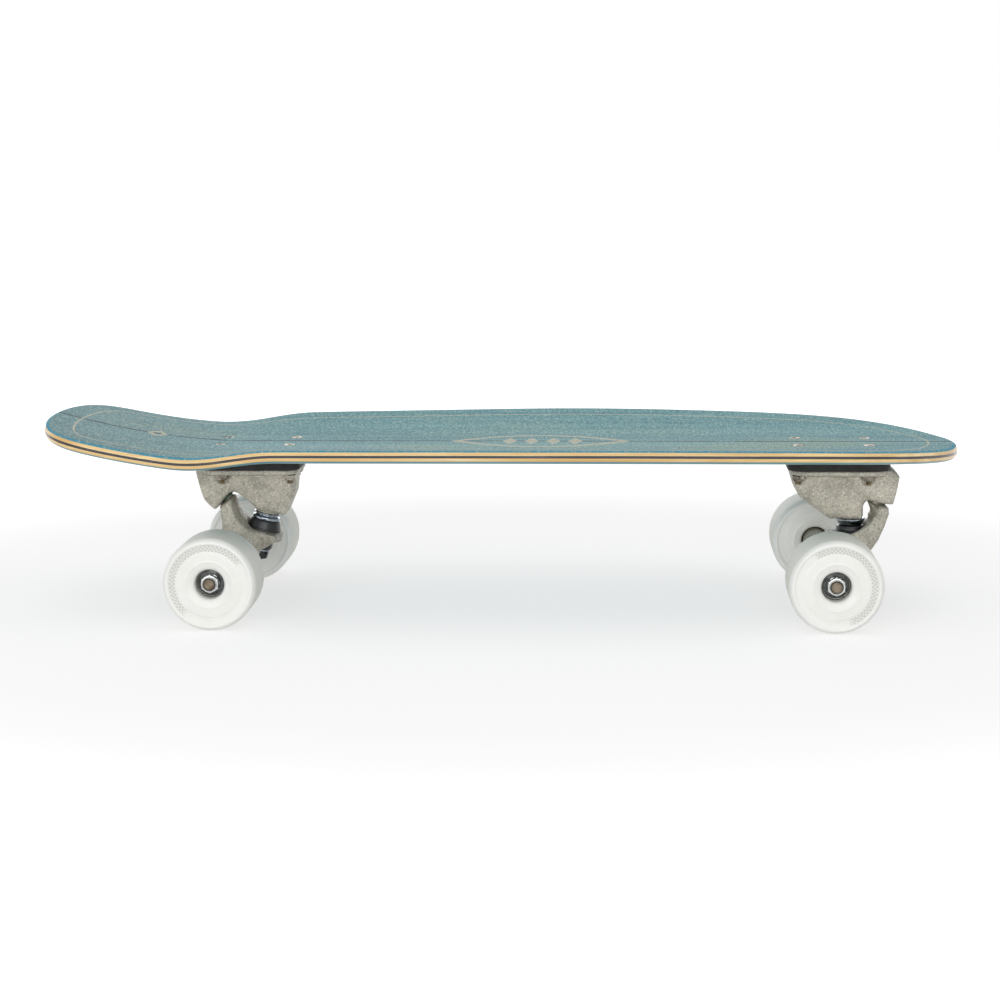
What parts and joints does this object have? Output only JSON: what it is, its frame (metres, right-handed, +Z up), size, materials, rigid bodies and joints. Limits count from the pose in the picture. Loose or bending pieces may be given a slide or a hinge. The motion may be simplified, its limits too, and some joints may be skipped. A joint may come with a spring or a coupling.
{
  "type": "surf skateboard",
  "caption": "Wide wooden cruising board with a kicked tail and rising edges, a surf-steering front truck, a carving rear truck and soft urethane wheels on bearings.",
  "frame": {"origin": "middle of the overall box in plan, on the ground under the wheels", "axes": "+X towards the nose, +Y to the rider's left, +Z up"},
  "size_m": [0.704, 0.2558, 0.1504],
  "materials": {
    "stained_ply": "teal stain under clear sand grip",
    "maple": "clear lacquer on the cut edge",
    "smoked_maple": "dyed dark",
    "teal_ply": "satin lacquer",
    "riser_rubber": "matt",
    "cast_aluminium": "raw tumbled casting",
    "urethane": "milky, satin",
    "bearing_steel": "dark shield",
    "zinc": "bright zinc",
    "brown_steel": "oiled steel",
    "chrome": "polished",
    "bushing_rubber": "satin urethane",
    "cup_urethane": "satin urethane"
  },
  "bodies": {
    "deck": {"deck_top_ply": "stained_ply", "deck_upper_core_ply": "maple", "deck_dark_ply": "smoked_maple", "deck_lower_core_ply": "maple", "deck_bottom_ply": "teal_ply", "front_riser": "riser_rubber", "front_baseplate": "cast_aluminium", "front_pivot_cup": "cup_urethane", "front_kingpin": "zinc", "front_upper_bushing": "bushing_rubber", "front_upper_washer": "chrome", "front_lower_bushing": "bushing_rubber", "front_lower_washer": "chrome", "front_kingpin_nut": "zinc", "front_bolt_1": "brown_steel", "front_bolt_nut_1": "zinc", "front_bolt_2": "brown_steel", "front_bolt_nut_2": "zinc", "front_bolt_3": "brown_steel", "front_bolt_nut_3": "zinc", "front_bolt_4": "brown_steel", "front_bolt_nut_4": "zinc", "rear_riser": "riser_rubber", "rear_baseplate": "cast_aluminium", "rear_pivot_cup": "cup_urethane", "rear_kingpin": "zinc", "rear_upper_bushing": "bushing_rubber", "rear_upper_washer": "chrome", "rear_lower_bushing": "bushing_rubber", "rear_lower_washer": "chrome", "rear_kingpin_nut": "zinc", "rear_bolt_1": "brown_steel", "rear_bolt_nut_1": "zinc", "rear_bolt_2": "brown_steel", "rear_bolt_nut_2": "zinc", "rear_bolt_3": "brown_steel", "rear_bolt_nut_3": "zinc", "rear_bolt_4": "brown_steel", "rear_bolt_nut_4": "zinc"},
    "front_truck": {"front_hanger": "cast_aluminium", "front_axle": "brown_steel", "front_right_axle_nut": "zinc", "front_left_axle_nut": "zinc"},
    "rear_truck": {"rear_hanger": "cast_aluminium", "rear_axle": "brown_steel", "rear_right_axle_nut": "zinc", "rear_left_axle_nut": "zinc"},
    "front_right_wheel_body": {"front_right_wheel": "urethane", "front_right_inner_bearing": "bearing_steel", "front_right_outer_bearing": "bearing_steel"},
    "front_left_wheel_body": {"front_left_wheel": "urethane", "front_left_inner_bearing": "bearing_steel", "front_left_outer_bearing": "bearing_steel"},
    "rear_right_wheel_body": {"rear_right_wheel": "urethane", "rear_right_inner_bearing": "bearing_steel", "rear_right_outer_bearing": "bearing_steel"},
    "rear_left_wheel_body": {"rear_left_wheel": "urethane", "rear_left_inner_bearing": "bearing_steel", "rear_left_outer_bearing": "bearing_steel"}
  },
  "joints": [
    {"name": "front_steer", "type": "hinge", "parent": "deck", "child": "front_truck", "pos_m": [0.2716, 0, 0.052], "axis": [0.5736, 0, 0.8191], "range_deg": [-20, 20], "stiffness_Nm_per_rad": 36, "deforming": ["front_upper_bushing", "front_lower_bushing"]},
    {"name": "rear_steer", "type": "hinge", "parent": "deck", "child": "rear_truck", "pos_m": [-0.1892, 0, 0.0533], "axis": [-0.6947, 0, 0.7193], "range_deg": [-15, 15], "stiffness_Nm_per_rad": 36, "deforming": ["rear_upper_bushing", "rear_lower_bushing"]},
    {"name": "front_right_wheel_spin", "type": "hinge", "parent": "front_truck", "child": "front_right_wheel_body", "pos_m": [0.2512, -0.0945, 0.035], "axis": [0, 1, 0], "continuous": true},
    {"name": "front_left_wheel_spin", "type": "hinge", "parent": "front_truck", "child": "front_left_wheel_body", "pos_m": [0.2512, 0.0945, 0.035], "axis": [0, 1, 0], "continuous": true},
    {"name": "rear_right_wheel_spin", "type": "hinge", "parent": "rear_truck", "child": "rear_right_wheel_body", "pos_m": [-0.2118, -0.0945, 0.035], "axis": [0, 1, 0], "continuous": true},
    {"name": "rear_left_wheel_spin", "type": "hinge", "parent": "rear_truck", "child": "rear_left_wheel_body", "pos_m": [-0.2118, 0.0945, 0.035], "axis": [0, 1, 0], "continuous": true}
  ]
}
